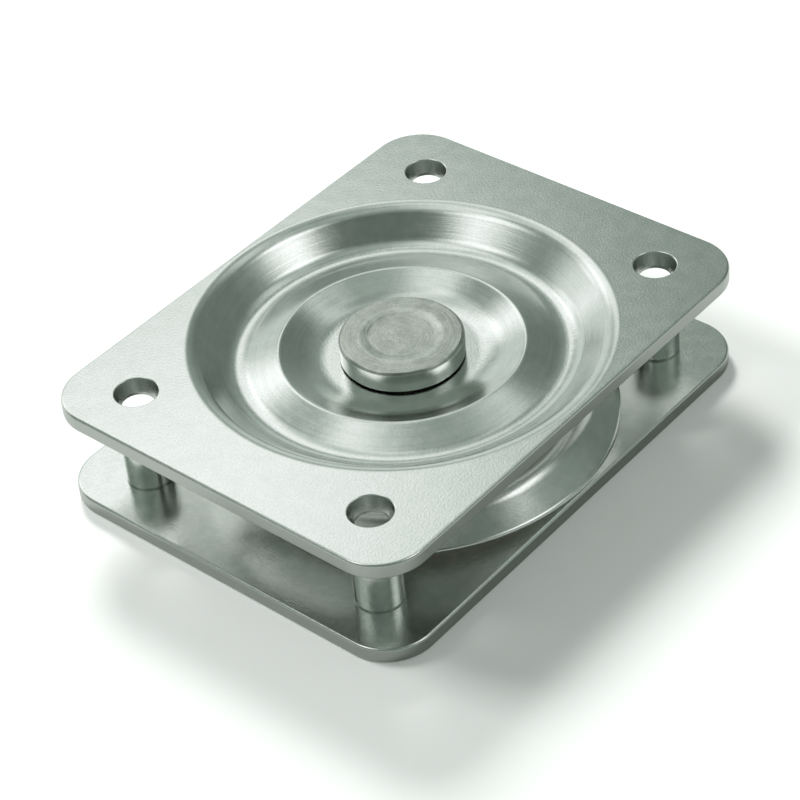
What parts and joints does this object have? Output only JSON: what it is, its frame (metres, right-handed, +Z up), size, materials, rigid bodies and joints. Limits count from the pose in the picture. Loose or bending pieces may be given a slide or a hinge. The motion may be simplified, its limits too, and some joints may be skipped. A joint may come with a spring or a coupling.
{
  "type": "swivel plate",
  "caption": "Pressed steel plates with a ball race between them and a central rivet, which let a seat, table or screen swivel.",
  "frame": {"origin": "centre of the lower plate's outline, on the surface that it rests on", "axes": "+Z up along the rivet, +X along the plates' long side"},
  "size_m": [0.1, 0.077, 0.0216],
  "materials": {
    "zinc_sheet": "bright zinc plated pressed sheet, fine matte grain on the flats, polished streaks in the pressing",
    "turned_steel": "turned steel, ringed face and polished side",
    "bush_steel": "zinc plated turned steel",
    "ball_steel": "polished bearing steel",
    "nylon": "natural nylon"
  },
  "bodies": {
    "base": {"lower_plate": "zinc_sheet", "centre_rivet": "turned_steel", "pivot_bush": "bush_steel", "tail_washer": "zinc_sheet", "base_bush_1": "bush_steel", "base_bush_2": "bush_steel", "base_bush_3": "bush_steel", "base_bush_4": "bush_steel"},
    "turntable": {"upper_plate": "zinc_sheet", "slip_washer": "nylon"},
    "cage": {"ball_cage": "nylon"},
    "bearing_ball_1": {"ball_1": "ball_steel"},
    "bearing_ball_2": {"ball_2": "ball_steel"},
    "bearing_ball_3": {"ball_3": "ball_steel"},
    "bearing_ball_4": {"ball_4": "ball_steel"},
    "bearing_ball_5": {"ball_5": "ball_steel"},
    "bearing_ball_6": {"ball_6": "ball_steel"},
    "bearing_ball_7": {"ball_7": "ball_steel"},
    "bearing_ball_8": {"ball_8": "ball_steel"},
    "bearing_ball_9": {"ball_9": "ball_steel"},
    "bearing_ball_10": {"ball_10": "ball_steel"},
    "bearing_ball_11": {"ball_11": "ball_steel"},
    "bearing_ball_12": {"ball_12": "ball_steel"}
  },
  "joints": [
    {"name": "swivel", "type": "hinge", "parent": "base", "child": "turntable", "pos_m": [0, 0, 0.02159], "axis": [0, 0, 1], "continuous": true},
    {"name": "cage_orbit", "type": "hinge", "parent": "base", "child": "cage", "pos_m": [0, 0, 0.0108], "axis": [0, 0, 1], "continuous": true},
    {"name": "ball_1_roll", "type": "hinge", "parent": "cage", "child": "bearing_ball_1", "pos_m": [0.01905, 0.011, 0.0108], "axis": [0.866, 0.5, 0], "continuous": true},
    {"name": "ball_2_roll", "type": "hinge", "parent": "cage", "child": "bearing_ball_2", "pos_m": [0.011, 0.01905, 0.0108], "axis": [0.5, 0.866, 0], "continuous": true},
    {"name": "ball_3_roll", "type": "hinge", "parent": "cage", "child": "bearing_ball_3", "pos_m": [0, 0.022, 0.0108], "axis": [0, 1, 0], "continuous": true},
    {"name": "ball_4_roll", "type": "hinge", "parent": "cage", "child": "bearing_ball_4", "pos_m": [-0.011, 0.01905, 0.0108], "axis": [-0.5, 0.866, 0], "continuous": true},
    {"name": "ball_5_roll", "type": "hinge", "parent": "cage", "child": "bearing_ball_5", "pos_m": [-0.01905, 0.011, 0.0108], "axis": [-0.866, 0.5, 0], "continuous": true},
    {"name": "ball_6_roll", "type": "hinge", "parent": "cage", "child": "bearing_ball_6", "pos_m": [-0.022, 0, 0.0108], "axis": [-1, 0, 0], "continuous": true},
    {"name": "ball_7_roll", "type": "hinge", "parent": "cage", "child": "bearing_ball_7", "pos_m": [-0.01905, -0.011, 0.0108], "axis": [-0.866, -0.5, 0], "continuous": true},
    {"name": "ball_8_roll", "type": "hinge", "parent": "cage", "child": "bearing_ball_8", "pos_m": [-0.011, -0.01905, 0.0108], "axis": [-0.5, -0.866, 0], "continuous": true},
    {"name": "ball_9_roll", "type": "hinge", "parent": "cage", "child": "bearing_ball_9", "pos_m": [0, -0.022, 0.0108], "axis": [0, -1, 0], "continuous": true},
    {"name": "ball_10_roll", "type": "hinge", "parent": "cage", "child": "bearing_ball_10", "pos_m": [0.011, -0.01905, 0.0108], "axis": [0.5, -0.866, 0], "continuous": true},
    {"name": "ball_11_roll", "type": "hinge", "parent": "cage", "child": "bearing_ball_11", "pos_m": [0.01905, -0.011, 0.0108], "axis": [0.866, -0.5, 0], "continuous": true},
    {"name": "ball_12_roll", "type": "hinge", "parent": "cage", "child": "bearing_ball_12", "pos_m": [0.022, 0, 0.0108], "axis": [1, 0, 0], "continuous": true}
  ],
  "couplings": [
    {"joint": "cage_orbit", "follows": "swivel", "ratio": 0.5},
    {"joint": "ball_1_roll", "follows": "swivel", "ratio": -2.7499},
    {"joint": "ball_2_roll", "follows": "swivel", "ratio": -2.7499},
    {"joint": "ball_3_roll", "follows": "swivel", "ratio": -2.7499},
    {"joint": "ball_4_roll", "follows": "swivel", "ratio": -2.7499},
    {"joint": "ball_5_roll", "follows": "swivel", "ratio": -2.7499},
    {"joint": "ball_6_roll", "follows": "swivel", "ratio": -2.7499},
    {"joint": "ball_7_roll", "follows": "swivel", "ratio": -2.7499},
    {"joint": "ball_8_roll", "follows": "swivel", "ratio": -2.7499},
    {"joint": "ball_9_roll", "follows": "swivel", "ratio": -2.7499},
    {"joint": "ball_10_roll", "follows": "swivel", "ratio": -2.7499},
    {"joint": "ball_11_roll", "follows": "swivel", "ratio": -2.7499},
    {"joint": "ball_12_roll", "follows": "swivel", "ratio": -2.7499}
  ]
}
